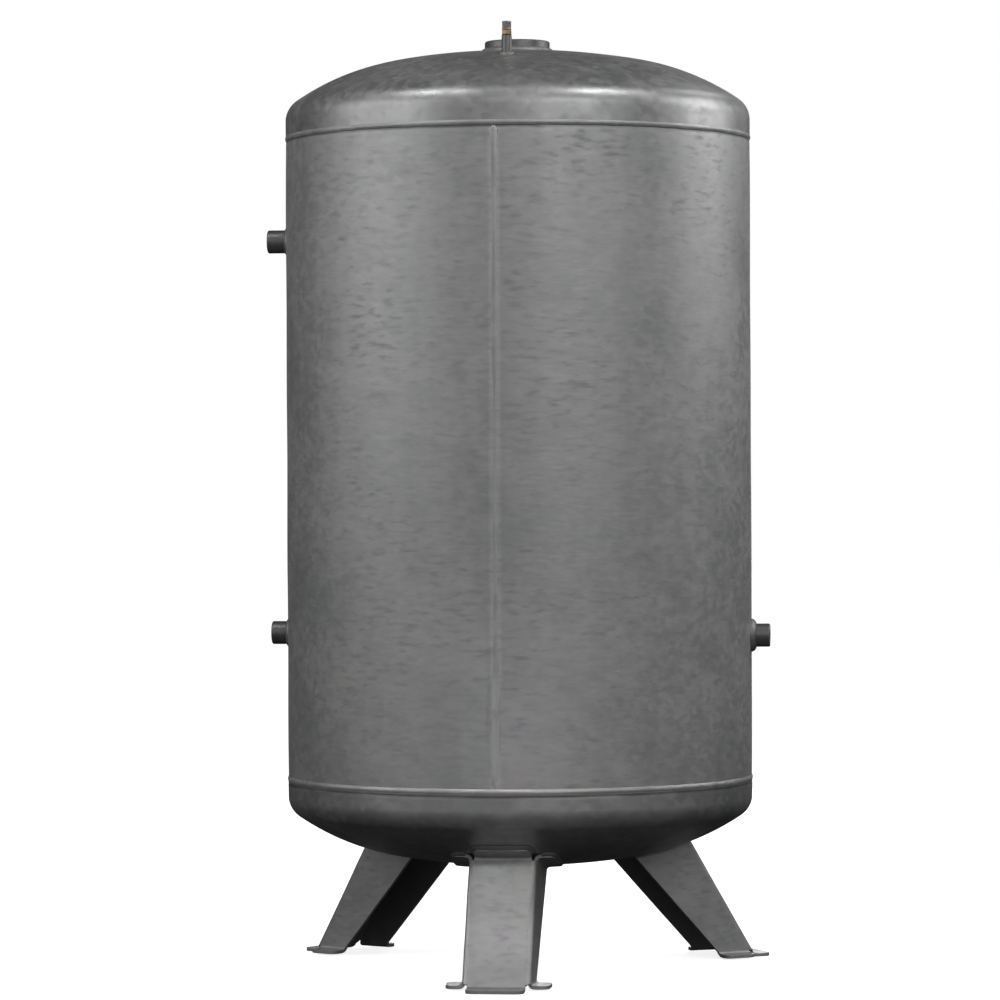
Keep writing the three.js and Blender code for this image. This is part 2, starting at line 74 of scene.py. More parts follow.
SHELL_LOW, SHELL_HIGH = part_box("shell")
SHELL_RADIUS = SHELL_HIGH.x
PLATE = 4 * MM
HALF_ROOT = 2 * MM
SEAM_LOW = SHELL_LOW.z - HALF_ROOT
SEAM_HIGH = SHELL_HIGH.z + HALF_ROOT
FIT = 0.3 * MM

HEAD_HEIGHT = 150 * MM
CROWN_RADIUS = 1238 * MM
CROWN_REACH = 221 * MM
SHOULDER_RADIUS = 418 * MM
KNUCKLE_RADIUS = 40 * MM
APEX_LOW = SEAM_LOW - HEAD_HEIGHT
APEX_HIGH = SEAM_HIGH + HEAD_HEIGHT

BOSS_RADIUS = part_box("top_boss")[1].x
BOSS_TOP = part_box("top_boss")[1].z
BOSS_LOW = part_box("top_boss")[0].z
SOCKET_RADIUS = 20 * MM
SOCKET_LENGTH = 48 * MM

# A leg's flanges spread a little towards their free edges.
LEG_HALF = 57 * MM
FLANGE_SPREAD = 0.06
LEG_SHEET = 6 * MM
LEG_BEND = 9 * MM
WEB_FOOT = 424 * MM
WEB_LEAN = 0.6
EDGE_FOOT = 358.5 * MM
EDGE_LEAN = 0.924
SIDE_LIFT = 3 * MM
LEG_TURNS = {"front": 0, "right": 117.6, "left": 237.6}

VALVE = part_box("valve_nipple")[0].lerp(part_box("valve_nipple")[1], 0.5)


# ---- Node materials ----

RANGE_SOCKETS = ("From Min", "From Max", "To Min", "To Max")


class Shader:
    """A material whose colour, roughness and bump come from nodes over object coordinates."""

    def __init__(self, name, metallic, specular=0.5):
        self.material = bpy.data.materials.new(name)
        self.material.use_nodes = True
        self.nodes = self.material.node_tree.nodes
        self.links = self.material.node_tree.links
        self.bsdf = self.nodes["Principled BSDF"]
        self.bsdf.inputs["Metallic"].default_value = metallic
        self.bsdf.inputs["Specular IOR Level"].default_value = specular
        self.place = self.nodes.new("ShaderNodeTexCoord").outputs["Object"]

    def set(self, socket, value):
        """Links a node's output to a socket, or writes a plain number or colour on it."""
        if isinstance(value, bpy.types.NodeSocket):
            self.links.new(value, socket)
        else:
            socket.default_value = value

    def stretched(self, x, y, z):
        node = self.nodes.new("ShaderNodeMapping")
        node.inputs["Scale"].default_value = (x, y, z)
        self.links.new(self.place, node.inputs["Vector"])
        return node.outputs["Vector"]

    def noise(self, vector, scale=1.0, detail=4.0, roughness=0.55, distortion=0.0):
        node = self.nodes.new("ShaderNodeTexNoise")
        self.set(node.inputs["Vector"], vector)
        numbers = {"Scale": scale, "Detail": detail, "Roughness": roughness, "Distortion": distortion}
        for name, number in numbers.items():
            node.inputs[name].default_value = number
        return node.outputs["Fac"]

    def cells(self, vector, scale):
        """One random number for each crystal-like cell."""
        node = self.nodes.new("ShaderNodeTexVoronoi")
        self.set(node.inputs["Vector"], vector)
        node.inputs["Scale"].default_value = scale
        split = self.nodes.new("ShaderNodeSeparateColor")
        self.links.new(node.outputs["Color"], split.inputs["Color"])
        return split.outputs["Red"]

    def ranged(self, value, low, high, out_low=0.0, out_high=1.0):
        """The value's stretch from low to high, smoothly mapped on to out_low to out_high."""
        node = self.nodes.new("ShaderNodeMapRange")
        node.interpolation_type = "SMOOTHSTEP"
        for name, number in zip(RANGE_SOCKETS, (low, high, out_low, out_high)):
            self.set(node.inputs[name], number)
        self.set(node.inputs["Value"], value)
        return node.outputs["Result"]

    def math(self, operation, *values):
        node = self.nodes.new("ShaderNodeMath")
        node.operation = operation
        for socket, value in zip(node.inputs, values):
            self.set(socket, value)
        return node.outputs["Value"]

    def product(self, *values):
        total = values[0]
        for value in values[1:]:
            total = self.math("MULTIPLY", total, value)
        return total

    def axis(self, name):
        node = self.nodes.new("ShaderNodeSeparateXYZ")
        self.links.new(self.place, node.inputs["Vector"])
        return node.outputs[name]

    def mixed(self, factor, first, second):
        node = self.nodes.new("ShaderNodeMix")
        node.data_type = "RGBA"
        sockets = [socket for socket in node.inputs if socket.enabled]
        self.set(sockets[0], factor)
        self.set(sockets[1], first)
        self.set(sockets[2], second)
        return next(socket for socket in node.outputs if socket.enabled)

    def shaded(self, colour, amount):
        """The colour times a grey number from a node."""
        node = self.nodes.new("ShaderNodeVectorMath")
        node.operation = "SCALE"
        self.set(node.inputs["Vector"], colour)
        self.set(node.inputs["Scale"], amount)
        return node.outputs["Vector"]

    def bump(self, height, distance, strength, below=None):
        """A normal from a height. It builds on the normal below, if there is one."""
        node = self.nodes.new("ShaderNodeBump")
        node.inputs["Strength"].default_value = strength
        node.inputs["Distance"].default_value = distance
        self.links.new(height, node.inputs["Height"])
        if below is not None:
            self.links.new(below, node.inputs["Normal"])
        return node.outputs["Normal"]

    def finished(self, colour, roughness, normal):
        self.set(self.bsdf.inputs["Base Color"], colour)
        self.set(self.bsdf.inputs["Roughness"], roughness)
        self.set(self.bsdf.inputs["Normal"], normal)
        return self.material


def galvanised(name, tone, fleck, roughness, metallic, grain=(40, 40, 170), seams=(), band=0.0):
    """Hot-dipped zinc: crystal cells, mottling, streaks and dark flecks along the rolling direction.
    grain says how finely the streaks repeat along each axis, seams are the heights of grooves
    under girth welds that get a painted shadow, and band is how much paler the zinc is along
    the long seam."""
    s = Shader(name, metallic)
    light = (tone * 1.05, tone * 1.05, tone * 1.04, 1)
    dark = (tone * 0.82, tone * 0.83, tone * 0.835, 1)
    mottle = s.noise(s.place, 7, 5, 0.6, 0.4)
    streak = s.noise(s.stretched(*grain), 1.0, 4, 0.6)
    runs = s.noise(s.stretched(22, 22, 1.6), 1.0, 3, 0.5)
    smear = s.noise(s.stretched(grain[0] * 0.42, grain[1] * 0.42, grain[2] * 0.30), 1.0, 3, 0.6)
    spangle = s.cells(s.stretched(75, 75, 95), 1.0)
    blend = s.math("ADD", s.product(mottle, 0.40), s.product(streak, 0.22))
    blend = s.math("ADD", blend, s.product(runs, 0.16))
    blend = s.math("ADD", blend, s.product(smear, 0.24))
    blend = s.math("ADD", blend, s.product(spangle, 0.08))
    colour = s.mixed(s.ranged(blend, 0.38, 0.72), dark, light)
    # Flecks come in loose groups, each a short soft dash.
    dash = s.noise(s.stretched(grain[0] * 0.9, grain[1] * 0.9, grain[2] * 0.7), 1.0, 2, 0.4)
    group = s.ranged(s.noise(s.place, 6.5, 3, 0.6), 0.36, 0.64, 0.25, 1.0)
    spot = s.ranged(dash, 0.48, 0.82)
    shade = s.product(spot, group, 0.24 * fleck)
    if band:
        # The zinc lies a little paler along the long seam, at the front.
        across = s.math("ABSOLUTE", s.axis("X"))
        near = s.ranged(across, 5 * MM, 13 * MM, 1.0, 0.0)
        front = s.ranged(s.axis("Y"), -0.2, 0.2, 1.0, 0.0)
        pale = s.product(near, front)
        colour = s.shaded(colour, s.math("ADD", 1.0, s.product(pale, band)))
    for height in seams:
        # Painted shadow: the groove along the lower edge of a girth weld is darkened, more in some
        # stretches.
        gap = s.math("ABSOLUTE", s.math("SUBTRACT", s.axis("Z"), height))
        line = s.ranged(gap, 1.0 * MM, 4.2 * MM, 1.0, 0.0)
        patchy = s.ranged(s.noise(s.place, 4.3, 2), 0.40, 0.60, 0.30, 0.85)
        shade = s.math("ADD", shade, s.product(line, patchy, 0.62))
    colour = s.shaded(colour, s.math("SUBTRACT", 1.0, s.math("MINIMUM", shade, 0.9)))
    wear = s.math("ADD", s.product(mottle, 0.6), s.product(spangle, 0.25))
    rough = s.ranged(wear, 0.2, 0.7, roughness - 0.07, roughness + 0.09)
    rough = s.math("ADD", rough, s.product(spot, group, 0.12))
    normal = s.bump(s.noise(s.place, 26, 3, 0.5), 0.9 * MM, 0.5)
    normal = s.bump(streak, 0.3 * MM, 0.5, normal)
    normal = s.bump(smear, 0.5 * MM, 0.4, normal)
    return s.finished(colour, rough, normal)


def weld_metal(name, tone):
    """Weld beads under zinc: a little paler on the ripples, with soot in the hollows."""
    s = Shader(name, 0.6)
    patch = s.noise(s.place, 90, 4, 0.6)
    soot = s.ranged(s.noise(s.place, 16, 3, 0.6), 0.35, 0.62)
    dark = (tone * 0.84, tone * 0.85, tone * 0.85, 1)
    light = (tone * 1.08, tone * 1.08, tone * 1.07, 1)
    colour = s.mixed(patch, dark, light)
    colour = s.shaded(colour, s.ranged(soot, 0, 1, 0.84, 1.0))
    rough = s.ranged(patch, 0.3, 0.7, 0.42, 0.56)
    normal = s.bump(s.noise(s.place, 900, 3), 0.12 * MM, 0.4)
    return s.finished(colour, rough, normal)


def turned_metal(name, colour, roughness):
    """Machined brass or nickel: fine rings around the axis, light tarnish and handling marks."""
    s = Shader(name, 1.0)
    tarnish = s.noise(s.place, 350, 4, 0.6, 0.5)
    rings = s.noise(s.stretched(30, 30, 9000), 1.0, 2, 0.5)
    tarnished = tuple(c * 0.82 for c in colour[:3]) + (1,)
    base = s.mixed(s.ranged(tarnish, 0.4, 0.7), tarnished, colour)
    rough = s.ranged(tarnish, 0.3, 0.7, roughness, roughness + 0.10)
    return s.finished(base, rough, s.bump(rings, 0.02 * MM, 0.25))


def black_rubber(name):
    s = Shader(name, 0.0)
    bloom = s.noise(s.place, 500, 4, 0.6)
    colour = s.mixed(s.ranged(bloom, 0.4, 0.75), (0.012, 0.012, 0.013, 1), (0.045, 0.045, 0.045, 1))
    rough = s.ranged(bloom, 0.3, 0.7, 0.62, 0.85)
    return s.finished(colour, rough, s.bump(bloom, 0.05 * MM, 0.5))


def pale_floor(name):
    s = Shader(name, 0.0, 0.1)
    colour = s.mixed(s.noise(s.place, 3, 3), (0.83, 0.83, 0.83, 1), (0.87, 0.87, 0.87, 1))
    s.bsdf.inputs["Emission Color"].default_value = (1, 1, 1, 1)
    s.bsdf.inputs["Emission Strength"].default_value = 0.85
    return s.finished(colour, 0.9, s.bump(s.noise(s.place, 40, 3), 0.2 * MM, 0.2))


# A shallow groove runs along the lower edge of each girth weld, this far under the seam.
TOP_GROOVE_DROP = 6.0 * MM
LOW_GROOVE_DROP = 8.0 * MM
GROOVE_DEPTH = 0.35 * MM
GROOVE_HALF = 2.4 * MM

# The grooves under the girth welds get a painted shadow in the shell's and the heads' zinc.
TOP_GROOVE_SHADOWS = (SEAM_HIGH - TOP_GROOVE_DROP,)
SHELL_ZINC = galvanised("zinc_shell", 0.37, 1.0, 0.50, 0.6, seams=TOP_GROOVE_SHADOWS, band=0.20)
HEAD_ZINC = galvanised("zinc_heads", 0.36, 0.7, 0.42, 0.78, (34, 34, 60), (SEAM_LOW - LOW_GROOVE_DROP,))
LEG_ZINC = galvanised("zinc_legs", 0.375, 1.1, 0.48, 0.7, (50, 50, 190))
# Painted shade: the legs' inner faces get a far darker zinc, where the open channels lie in shadow.
LEG_PAINTED_SHADE = galvanised("zinc_legs_painted_shade", 0.16, 0.5, 0.60, 0.5, (60, 60, 75))
FITTING_ZINC = galvanised("zinc_fittings", 0.155, 0.8, 0.42, 0.7, (110, 110, 110))
WELD = weld_metal("zinc_on_welds", 0.40)
FILLET_WELD = weld_metal("zinc_on_fillets", 0.24)
BRASS = turned_metal("brass", (0.30, 0.22, 0.10, 1), 0.34)
NICKEL = turned_metal("nickel", (0.26, 0.25, 0.235, 1), 0.32)
SPRING_STEEL = turned_metal("spring_steel", (0.50, 0.51, 0.53, 1), 0.2)
RUBBER = black_rubber("black_rubber")


# ---- Meshes ----


def lerp(a, b, t):
    return a + (b - a) * t


def smooth(t):
    t = min(max(t, 0), 1)
    return t * t * (3 - 2 * t)


def waves(phase):
    """A rounded up-and-down wave from 0 to 1, one for each whole number of the phase."""
    return smooth(abs(2 * (phase % 1) - 1))


ROUNDING_STEPS = 3


def rounded(corners):
    """A closed outline with rounded corners. Each corner is (radius, height, rounding)."""
    outline = []
    for i, (x, y, size) in enumerate(corners):
        here = Vector((x, y))
        before = Vector(corners[i - 1][:2])
        after = Vector(corners[(i + 1) % len(corners)][:2])
        if size == 0:
            outline.append((x, y))
            continue
        start = here + (before - here).normalized() * size
        end = here + (after - here).normalized() * size
        for k in range(ROUNDING_STEPS + 1):
            t = k / ROUNDING_STEPS
            outline.append(tuple(start.lerp(here, t).lerp(here.lerp(end, t), t)))
    return outline


def piece(name, vertices, faces, material):
    """A mesh object with merged corners, faces turned outwards and smooth shading."""
    mesh = bpy.data.meshes.new(name)
    mesh.from_pydata(vertices, [], faces)
    work = bmesh.new()
    work.from_mesh(mesh)
    bmesh.ops.remove_doubles(work, verts=work.verts, dist=0.002 * MM)
    bmesh.ops.recalc_face_normals(work, faces=work.faces)
    work.to_mesh(mesh)
    work.free()
    mesh.polygons.foreach_set("use_smooth", [True] * len(mesh.polygons))
    mesh.materials.append(material)
    made = bpy.data.objects.new(name, mesh)
    bpy.context.scene.collection.objects.link(made)
    return made


def loft(name, rings, material, loop=False):
    """Joins rings of points into a skin. A loop joins its last ring to its first, and
    otherwise the ends are closed with flat faces."""
    count = len(rings[0])
    vertices = [point for ring in rings for point in ring]
    faces = []
    for i in range(len(rings) if loop else len(rings) - 1):
        near = i * count
        far = (i + 1) % len(rings) * count
        for j in range(count):
            k = (j + 1) % count
            faces.append((near + j, near + k, far + k, far + j))
    if not loop:
        faces.append(tuple(reversed(range(count))))
        faces.append(tuple(range(len(vertices) - count, len(vertices))))
    return piece(name, vertices, faces, material)


def lathe(name, outline, sides, material):
    """Turns a closed outline of (radius, height) around Z. It may be a function of the angle."""
    rings = []
    for i in range(sides):
        angle = TURN * i / sides
        points = outline(angle) if callable(outline) else outline
        rings.append([Vector((r * math.cos(angle), r * math.sin(angle), z)) for r, z in points])
    return loft(name, rings, material, loop=True)


def crisp(made):
    """Keeps flat faces flat in the shading, and rounds only the edges."""
    made.modifiers.new("flat_faces", "WEIGHTED_NORMAL").keep_sharp = True
    return made


def sharp_edged(made, degrees=40):
    """Shades round surfaces smooth, right up to their cut edges."""
    made.data.set_sharp_from_angle(angle=math.radians(degrees))
    return made


# Beside a girth seam, plates are true for TRUE_WIDTH and wholly uneven FADE_WIDTH further on.
TRUE_WIDTH = 12 * MM
FADE_WIDTH = 60 * MM
# Noise vectors start from an offset drawn at random. The seed makes it the same in every run.
UNEVEN_SEED = 1
noise.seed_set(UNEVEN_SEED)


def uneven(made, amount, size):
    """Moves the whole wall of a sheet about a little, as rolling leaves it.
    It stays true beside the girth seams, where the plates are fitted together."""
    for vertex in made.data.vertices:
        from_seam = min(abs(vertex.co.z - SEAM_LOW), abs(vertex.co.z - SEAM_HIGH))
        calm = smooth((from_seam - TRUE_WIDTH) / FADE_WIDTH)
        vertex.co += noise.noise_vector(vertex.co / size) * amount * calm


def settle(made, node, body="vessel"):
    """Puts a piece in the place of its CAD node, in its body."""
    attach(made, body)
    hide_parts(node)


# ---- Plates ----


THREAD_STEPS = 6


def thread_points(angle, low, high, crest, root, pitch):
    """The outline of a threaded stretch at one angle, from low to high."""
    steps = max(2, round(abs(high - low) / pitch * THREAD_STEPS))
    points = []
    for k in range(steps + 1):
        z = lerp(low, high, k / steps)
        runout = smooth(abs(z - low) / pitch) * smooth(abs(high - z) / pitch)
        depth = (1 - waves(z / pitch - angle / TURN)) * runout
        points.append((lerp(crest, root, depth), z))
    return points


def cut_round_holes(made, holes):
    """Cuts (centre, direction, radius, depth) holes right through a plate."""
    for centre, direction, radius, depth in holes:
        turn = direction.to_track_quat("Z", "Y").to_matrix().to_4x4()
        cutter = lathe("cutter", [(0, -depth), (radius, -depth), (radius, depth), (0, depth)], 96, WELD)
        cutter.data.transform(Matrix.Translation(centre) @ turn)
        cut = made.modifiers.new("hole", "BOOLEAN")
        cut.operation = "DIFFERENCE"
        cut.object = cutter
        depsgraph = bpy.context.evaluated_depsgraph_get()
        mesh = bpy.data.meshes.new_from_object(made.evaluated_get(depsgraph))
        made.modifiers.clear()
        made.data = mesh
        bpy.data.objects.remove(cutter)


SHELL_SIDES = 256
SHELL_ROWS = 72
INSIDE_ROWS = 24
# Welding pulls the plate in a little beside each girth seam.
SEAM_PULL = 0.7 * MM
SEAM_PULL_WIDTH = 45 * MM


def shell_outline():
    """The plate's outside with a shallow groove under the top girth weld, then its inside."""
    low = SHELL_LOW.z
    high = SHELL_HIGH.z
    groove = SEAM_HIGH - TOP_GROOVE_DROP
    heights = [lerp(low, high, k / SHELL_ROWS) for k in range(SHELL_ROWS + 1)]
    heights = [z for z in heights if abs(z - groove) > 4 * MM]
    heights += [groove + step * MM for step in (-2.5, -1.2, 0, 1.2, 2.5)]
    outside = []
    for z in sorted(heights):
        dip = GROOVE_DEPTH * smooth(1 - abs(z - groove) / GROOVE_HALF)
        near_high = math.exp(-(high - z) / SEAM_PULL_WIDTH)
        near_low = math.exp(-(z - low) / SEAM_PULL_WIDTH)
        outside.append((SHELL_RADIUS - dip - SEAM_PULL * (near_high + near_low), z))
    inside = [(SHELL_RADIUS - PLATE, lerp(high, low, k / INSIDE_ROWS)) for k in range(INSIDE_ROWS + 1)]
    return outside + inside


def socket_places():
    """Each side socket's node, height over the floor, side (-1 or 1) and reach from the axis."""
    places = []
    for name in ("upper_left_socket", "lower_left_socket", "right_socket"):
        low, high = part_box(name)
        side = 1 if high.x + low.x > 0 else -1
        places.append((name, (low.z + high.z) / 2, side, high.x if side > 0 else -low.x))
    return places


def build_shell():
    plate = lathe("shell_plate", shell_outline(), SHELL_SIDES, SHELL_ZINC)
    uneven(plate, amount=0.8 * MM, size=190 * MM)
    holes = [
        (Vector((side * SHELL_RADIUS, 0, height)), Vector((side, 0, 0)), SOCKET_RADIUS + FIT, 20 * MM)
        for _, height, side, _ in socket_places()
    ]
    cut_round_holes(plate, holes)
    settle(sharp_edged(plate), "shell")


def head_arcs():
    """(x, z, radius, first angle, last angle) of the crown, the shoulder and the knuckle.
    Angles run from straight up, and heights from the seam."""
    crown_end = math.asin(CROWN_REACH / CROWN_RADIUS)
    crown = (0.0, HEAD_HEIGHT - CROWN_RADIUS, CROWN_RADIUS, 0.0, crown_end)
    back = CROWN_RADIUS - SHOULDER_RADIUS
    x = back * math.sin(crown_end)
    z = crown[1] + back * math.cos(crown_end)
    down = SHOULDER_RADIUS - KNUCKLE_RADIUS
    knuckle_x = SHELL_RADIUS - KNUCKLE_RADIUS
    shoulder_end = math.asin((knuckle_x - x) / down)
    shoulder = (x, z, SHOULDER_RADIUS, crown_end, shoulder_end)
    knuckle = (knuckle_x, z + down * math.cos(shoulder_end), KNUCKLE_RADIUS, shoulder_end, math.pi / 2)
    return crown, shoulder, knuckle


HEAD_ARCS = head_arcs()
ARC_STEPS = 14
# Heights in millimetres over the seam of the rows on the straight flange, closer at the groove.
FLANGE_ROWS = (22, 14, 10.4, 9.2, 8.0, 6.8, 5.6, 2)


def dish_outline(offset):
    """From the middle out and down to the straight flange, over a seam at height 0."""
    points = []
    for x, z, radius, first, last in HEAD_ARCS:
        for k in range(ARC_STEPS):
            a = lerp(first, last, k / ARC_STEPS)
            points.append((x + (radius + offset) * math.sin(a), z + (radius + offset) * math.cos(a)))
    x, z, radius, _, _ = HEAD_ARCS[-1]
    return points + [(x + radius + offset, z)]


def dish_height(distance, offset=0.0):
    """How high a dish's face stands over its seam at a distance from the axis."""
    for x, z, radius, _, last in HEAD_ARCS:
        reach = radius + offset
        if distance <= x + reach * math.sin(last):
            break
    return z + math.sqrt(max(0.0, reach ** 2 - (distance - x) ** 2))


def head_outline(hole):
    """A dish with its middle cut out to the radius of a hole."""

    def opened(points):
        kept = [point for point in points if point[0] > hole]
        first = points[len(points) - len(kept) - 1]
        t = (hole - first[0]) / (kept[0][0] - first[0])
        return [(hole, lerp(first[1], kept[0][1], t))] + kept

    outside = opened(dish_outline(0)) + [(SHELL_RADIUS, z * MM) for z in FLANGE_ROWS]
    inside = opened(dish_outline(-PLATE)) + [(SHELL_RADIUS - PLATE, HALF_ROOT)]
    return outside + inside[::-1]


def build_heads():
    top = lathe("top_head_dish", head_outline(BOSS_RADIUS + FIT), SHELL_SIDES, HEAD_ZINC)
    top.data.transform(Matrix.Translation((0, 0, SEAM_HIGH)))
    uneven(top, amount=0.9 * MM, size=160 * MM)
    low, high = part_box("valve_nipple")
    cut_round_holes(top, [(VALVE, Vector((0, 0, 1)), (high.x - low.x) / 2 + FIT, 30 * MM)])
    settle(sharp_edged(top), "top_head")
    outline = []
    for radius, height in head_outline(SOCKET_RADIUS + FIT):
        near_groove = abs(height - LOW_GROOVE_DROP) / GROOVE_HALF
        dip = GROOVE_DEPTH * smooth(1 - near_groove) if radius > SHELL_RADIUS - 1 * MM else 0
        outline.append((radius - dip, height))
    bottom = lathe("bottom_head_dish", outline, SHELL_SIDES, HEAD_ZINC)
    bottom.data.transform(Matrix.Translation((0, 0, SEAM_LOW)) @ Matrix.Rotation(math.pi, 4, "X"))
    uneven(bottom, amount=0.9 * MM, size=160 * MM)
    settle(sharp_edged(bottom), "bottom_head")


# ---- Weld beads ----

RIPPLE_PITCH = 3.6 * MM
BEAD_STEPS = 9
WANDER = 0.13
WANDER_LENGTH = 14 * MM


def bead(name, sections, bulge, closed, seed, softness=1.0, ripple=0.30, material=WELD):
    """A weld bead along sections of (one toe, other toe, root), with crescent ripples.
    It bulges away from the root, and both toes wander a little."""
    rings = []
    travelled = 0.0
    middle = None
    for toe, other, root in sections:
        here = (toe + other) / 2
        travelled += (here - middle).length if middle is not None else 0
        middle = here
        away = (here - root).normalized()
        wander = noise.noise(here / WANDER_LENGTH + Vector((seed, 0, 0))) * WANDER
        a = toe + (toe - here) * wander
        b = other + (other - here) * wander
        ring = []
        for k in range(BEAD_STEPS + 1):
            t = k / BEAD_STEPS
            crescent = travelled / RIPPLE_PITCH + 1.1 * (2 * t - 1) ** 2
            scale = 1 - ripple * (crescent % 1) ** 1.5
            ring.append(a.lerp(b, t) + away * bulge * scale * math.sin(math.pi * t) ** softness)
        ring.append(root)
        rings.append(ring)
    return loft(name, rings, material, loop=closed)


def steps_around(radius, spacing):
    return int(TURN * radius / spacing)


BEAD_DEPTH = 3 * MM


def girth_bead(name, node, seam, seed):
    half = 5.6 * MM
    surface = SHELL_RADIUS - 0.9 * MM
    sections = []
    count = steps_around(SHELL_RADIUS, 1.25 * MM)
    for i in range(count):
        angle = TURN * i / count
        out = Vector((math.cos(angle), math.sin(angle), 0))
        level = Vector((0, 0, seam))
        up = Vector((0, 0, half))
        root = out * (surface - BEAD_DEPTH) + level
        sections.append((out * surface + level + up, out * surface + level - up, root))
    made = bead(name, sections, 1.9 * MM, closed=True, seed=seed, softness=1.2, ripple=0.12)
    settle(made, node)


def long_bead():
    low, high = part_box("long_seam_weld")
    half = 7.5 * MM
    count = int((high.z - low.z) / (1.2 * MM))
    surface = SHELL_RADIUS - 0.6 * MM
    sections = []
    for i in range(count + 1):
        z = lerp(low.z, high.z, i / count)
        end = min(1, (min(i, count - i) + 2) / 7)
        sections.append((
            Vector((-half * end, -surface, z)),
            Vector((half * end, -surface, z)),
            Vector((0, -surface + BEAD_DEPTH, z)),
        ))
    made = bead("long_seam_bead", sections, 1.2 * MM, closed=False, seed=3.0, softness=2.0, ripple=0.35)
    settle(made, "long_seam_weld")


FILLET_SPACING = 1.1 * MM


def ring_fillet(name, node, radius, fillet, plate_point, axis_point, seed, spacing=FILLET_SPACING):
    """A fillet weld around a round fitting. plate_point gives a point of the plate at a
    distance from the fitting's axis, and axis_point one on the fitting, above the plate."""
    sections = []
    count = steps_around(radius, spacing)
    for i in range(count):
        angle = TURN * i / count
        toe = plate_point(angle, radius + fillet)
        inner = radius + 0.2 * MM
        root = plate_point(angle, inner)
        sections.append((toe, axis_point(angle, inner, fillet), root))
    made = bead(name, sections, 0.22 * fillet, closed=True, seed=seed, material=FILLET_WELD)
    settle(made, node)


def head_drop(distance):
    """How far a head's outer face falls away from its apex, at a distance from the axis."""
    return HEAD_HEIGHT - dish_height(distance)


def on_crown(centre, angle, distance, up, apex):
    """A point on the top (up = 1) or bottom (up = -1) crown, around a place on it."""
    x = centre[0] + distance * math.cos(angle)
    y = centre[1] + distance * math.sin(angle)
    return Vector((x, y, apex - up * head_drop(math.hypot(x, y))))


def crown_fillet(name, node, centre, radius, fillet, up, apex, seed, spacing=FILLET_SPACING):
    def point(angle, distance, rise=0.0):
        return on_crown(centre, angle, distance, up, apex) + Vector((0, 0, up * rise))

    ring_fillet(name, node, radius, fillet, point, point, seed, spacing)


def socket_fillet(name, node, height, side, fillet, seed):
    def on_shell(angle, distance, rise=0.0):
        y = distance * math.cos(angle)
        x = math.sqrt(SHELL_RADIUS ** 2 - y ** 2) + rise
        return Vector((side * x, y, height + distance * math.sin(angle)))

    ring_fillet(name, node, SOCKET_RADIUS, fillet, on_shell, on_shell, seed)


# ---- Boss and sockets ----

PIPE_PITCH = 2.309 * MM
BOSS_CREST = 42.5 * MM
BOSS_ROOT = 43.9 * MM
SOCKET_CREST = 15.15 * MM
SOCKET_ROOT = 16.62 * MM


def threaded_outline(angle, low, top, radius, crest, root, chamfer):
    """A pipe fitting's section at one angle: a chamfered outside and a threaded bore."""
    outside = rounded([
        (crest, low, 0.5 * MM),
        (radius, low, 0.6 * MM),
        (radius, top - chamfer, 0.5 * MM),
        (radius - chamfer, top, 0.5 * MM),
        (root + 0.4 * MM, top, 0.4 * MM),
    ])
    bore = thread_points(angle, top - 1.6 * MM, low + 1 * MM, crest, root, PIPE_PITCH)
    # Each corner makes ROUNDING_STEPS + 1 points. The first corner's end the outline.
    corner = ROUNDING_STEPS + 1
    return outside[corner:] + bore + outside[:corner]


def build_boss():
    def outline(angle):
        return threaded_outline(angle, BOSS_LOW, BOSS_TOP, BOSS_RADIUS, BOSS_CREST, BOSS_ROOT, 2 * MM)

    settle(crisp(lathe("top_boss_ring", outline, 180, FITTING_ZINC)), "top_boss")
    fillet = 7.6 * MM
    crown_fillet("top_boss_fillet", "top_boss_weld", (0, 0), BOSS_RADIUS, fillet, 1, APEX_HIGH, 5.0)


def build_sockets():
    def outline(angle):
        chamfer = 1.6 * MM
        return threaded_outline(
            angle, -SOCKET_LENGTH, 0, SOCKET_RADIUS, SOCKET_CREST, SOCKET_ROOT, chamfer)

    for i, (name, height, side, end) in enumerate(socket_places()):
        socket = crisp(lathe(f"{name}_body", outline, 108, FITTING_ZINC))
        quarter = Matrix.Rotation(side * math.pi / 2, 4, "Y")
        socket.data.transform(Matrix.Translation((side * end, 0, height)) @ quarter)
        settle(socket, name)
        low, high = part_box(f"{name}_weld")
        fillet = (high.z - low.z) / 2 - SOCKET_RADIUS - FIT
        socket_fillet(f"{name}_fillet", f"{name}_weld", height, side, fillet, 7.0 + i)
    drain = crisp(lathe("drain_socket_body", outline, 108, FITTING_ZINC))
    drain_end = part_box("drain_socket")[0].z
    drain.data.transform(Matrix.Translation((0, 0, drain_end)) @ Matrix.Rotation(math.pi, 4, "X"))
    settle(drain, "drain_socket")
    fillet = 5.8 * MM
    crown_fillet(
        "drain_socket_fillet", "drain_socket_weld", (0, 0), SOCKET_RADIUS, fillet, -1, APEX_LOW, 11.0)


# ---- Legs ----
# A leg is one bent sheet. Its outer face is a grid of columns, from one flange's free edge
# around the web to the other. Columns run on into tabs at the foot and under the head.

FOOT_TIP = -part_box("front_leg")[0].y
SIDE_FOOT_REACH = 28 * MM
TOP_TAB_TIP = 328 * MM
SIDE_TOP_REACH = 27 * MM
TAB_CORNER = 14 * MM
FOLD = 6 * MM
FOLD_STEPS = 5
TAB_STEPS = 6
WALL_STEPS = 12
FLANGE_COLUMNS = 16
WEB_COLUMNS = 24
BEND_STEPS = 6


def under_head(x, y, gap):
    """The height of a point that lies a gap below the bottom head's outer face."""
    return SEAM_LOW - dish_height(math.hypot(x, y), gap)


def tab_reach(full, edge_distance):
    """How far a tab reaches at a distance from its side, with its corner rounded."""
    if edge_distance >= TAB_CORNER:
        return full
    return full - TAB_CORNER + math.sqrt(TAB_CORNER ** 2 - (TAB_CORNER - edge_distance) ** 2)


